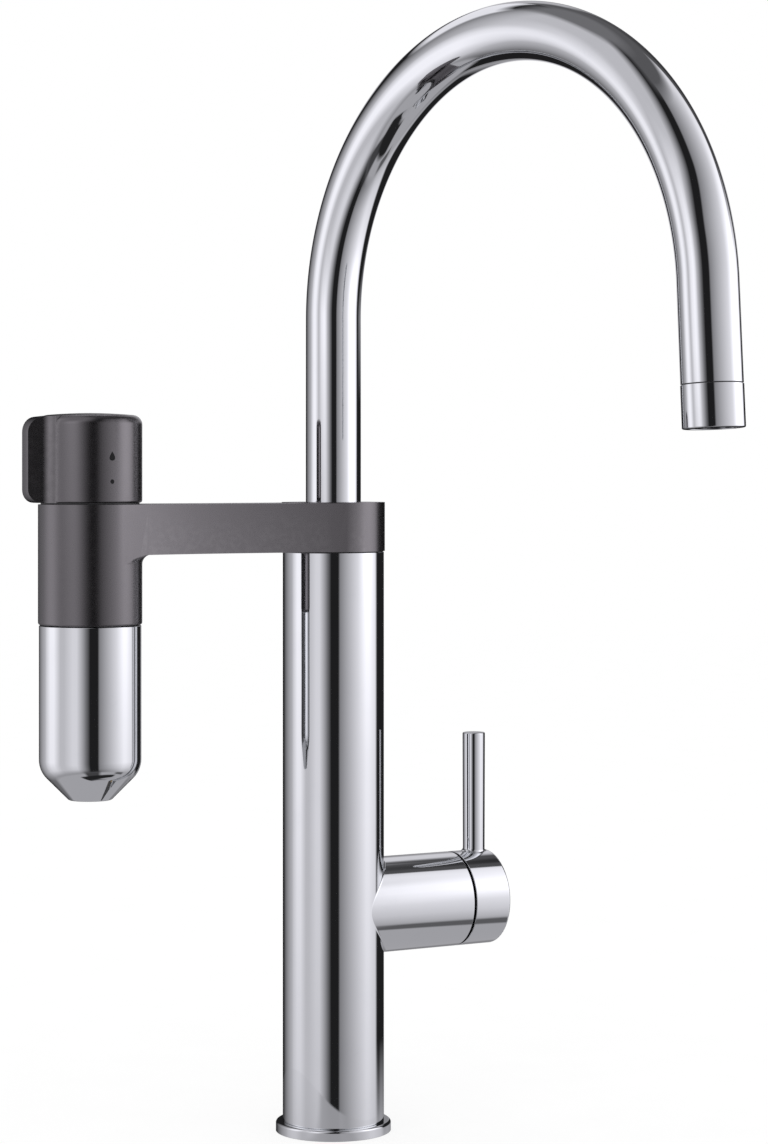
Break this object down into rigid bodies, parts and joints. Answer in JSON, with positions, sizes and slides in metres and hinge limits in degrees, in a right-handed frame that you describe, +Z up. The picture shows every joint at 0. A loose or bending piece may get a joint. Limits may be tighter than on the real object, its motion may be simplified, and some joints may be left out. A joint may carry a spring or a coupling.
{
  "type": "filter kitchen mixer tap",
  "caption": "Tall single-lever kitchen mixer tap with swivelling arched spout and side arm carrying a filter capsule under a rotary knob.",
  "frame": {"origin": "axis of the column in the plane of the worktop", "axes": "+Z up along the column, +X along the lever hub, the filter arm along -X, the user on the -Y side"},
  "size_m": [0.2238, 0.2642, 0.5389],
  "materials": {
    "chrome": "polished chrome plate",
    "gunmetal": "satin metallic grey coat",
    "knob_gunmetal": "satin metallic grey coat",
    "brass": "turned brass",
    "copper": "drawn copper tube",
    "stainless": "brushed stainless steel",
    "screw_steel": "dark hardened steel",
    "rubber": "moulded black rubber",
    "ceramic": "lapped ceramic",
    "acetal": "white moulded plastic",
    "dark_plastic": "dark moulded plastic",
    "carbon": "pressed carbon block"
  },
  "bodies": {
    "tap_body": {"base_flange": "chrome", "flange_gasket": "rubber", "mounting_shank": "brass", "rubber_washer": "rubber", "steel_washer": "stainless", "backnut": "brass", "mixer_body": "chrome", "filter_feed_tube": "copper", "cartridge_housing": "acetal", "port_seals": "rubber", "fixed_disc": "ceramic", "cartridge_nut": "brass", "hub_dome": "chrome", "filter_arm": "gunmetal", "ring_gasket": "rubber", "spigot_seal": "rubber", "spigot_screw": "screw_steel", "slide_washer": "acetal", "valve_headpart": "brass", "headpart_seal": "rubber", "valve_seat_seal": "rubber", "valve_fixed_disc": "ceramic"},
    "lever_guide": {"stem_guide": "acetal", "stem_pin": "stainless"},
    "lever": {"lever_stem": "stainless", "lever_handle": "chrome", "lever_grub_screw": "screw_steel", "lever_plug": "chrome"},
    "mixing_slide": {"mixing_disc": "ceramic", "disc_coupler": "acetal"},
    "spout": {"spout_tube": "chrome", "spout_foot": "brass", "foot_seals": "rubber", "foot_lower_seal": "rubber", "swivel_stop": "stainless", "filtered_tube": "acetal", "filtered_nipple": "brass", "outlet_collar": "chrome", "outlet_insert": "dark_plastic", "outlet_screens": "stainless", "outlet_seal": "rubber"},
    "knob": {"filter_knob": "knob_gunmetal", "knob_grub_screw": "screw_steel", "valve_spindle": "brass", "spindle_seal": "rubber", "spindle_clip": "stainless", "valve_turning_disc": "ceramic"},
    "cartridge": {"filter_cartridge": "acetal", "filter_medium": "carbon", "cartridge_seals": "rubber"},
    "capsule": {"capsule_holder": "chrome", "holder_seal": "rubber"}
  },
  "joints": [
    {"name": "spout_swivel", "type": "hinge", "parent": "tap_body", "child": "spout", "pos_m": [0, 0, 0.25], "axis": [0, 0, 1], "range_deg": [-84.7, 65.3]},
    {"name": "lever_turn", "type": "hinge", "parent": "tap_body", "child": "lever_guide", "pos_m": [0.04385, 0, 0.0963], "axis": [1, 0, 0], "range_deg": [-45, 45]},
    {"name": "lever_tilt", "type": "hinge", "parent": "lever_guide", "child": "lever", "pos_m": [0.04385, 0, 0.0963], "axis": [0, 1, 0], "range_deg": [0, 20]},
    {"name": "disc_slide", "type": "slide", "parent": "lever_guide", "child": "mixing_slide", "axis": [0, 0, 1], "range_m": [0, 0.0027]},
    {"name": "knob_turn", "type": "hinge", "parent": "tap_body", "child": "knob", "pos_m": [-0.1159, 0, 0.29], "axis": [0, 0, 1], "range_deg": [0, 90]},
    {"name": "capsule_drop", "type": "slide", "parent": "tap_body", "child": "cartridge", "axis": [0, 0, -1], "range_m": [0, 0.0076]},
    {"name": "capsule_turn", "type": "hinge", "parent": "cartridge", "child": "capsule", "pos_m": [-0.1159, 0, 0.19], "axis": [0, 0, -1], "range_deg": [0, 1080]}
  ],
  "couplings": [
    {"joint": "disc_slide", "follows": "lever_tilt", "m_per_rad": 0.00745},
    {"joint": "capsule_drop", "follows": "capsule_turn", "m_per_rad": 0.00039789}
  ]
}
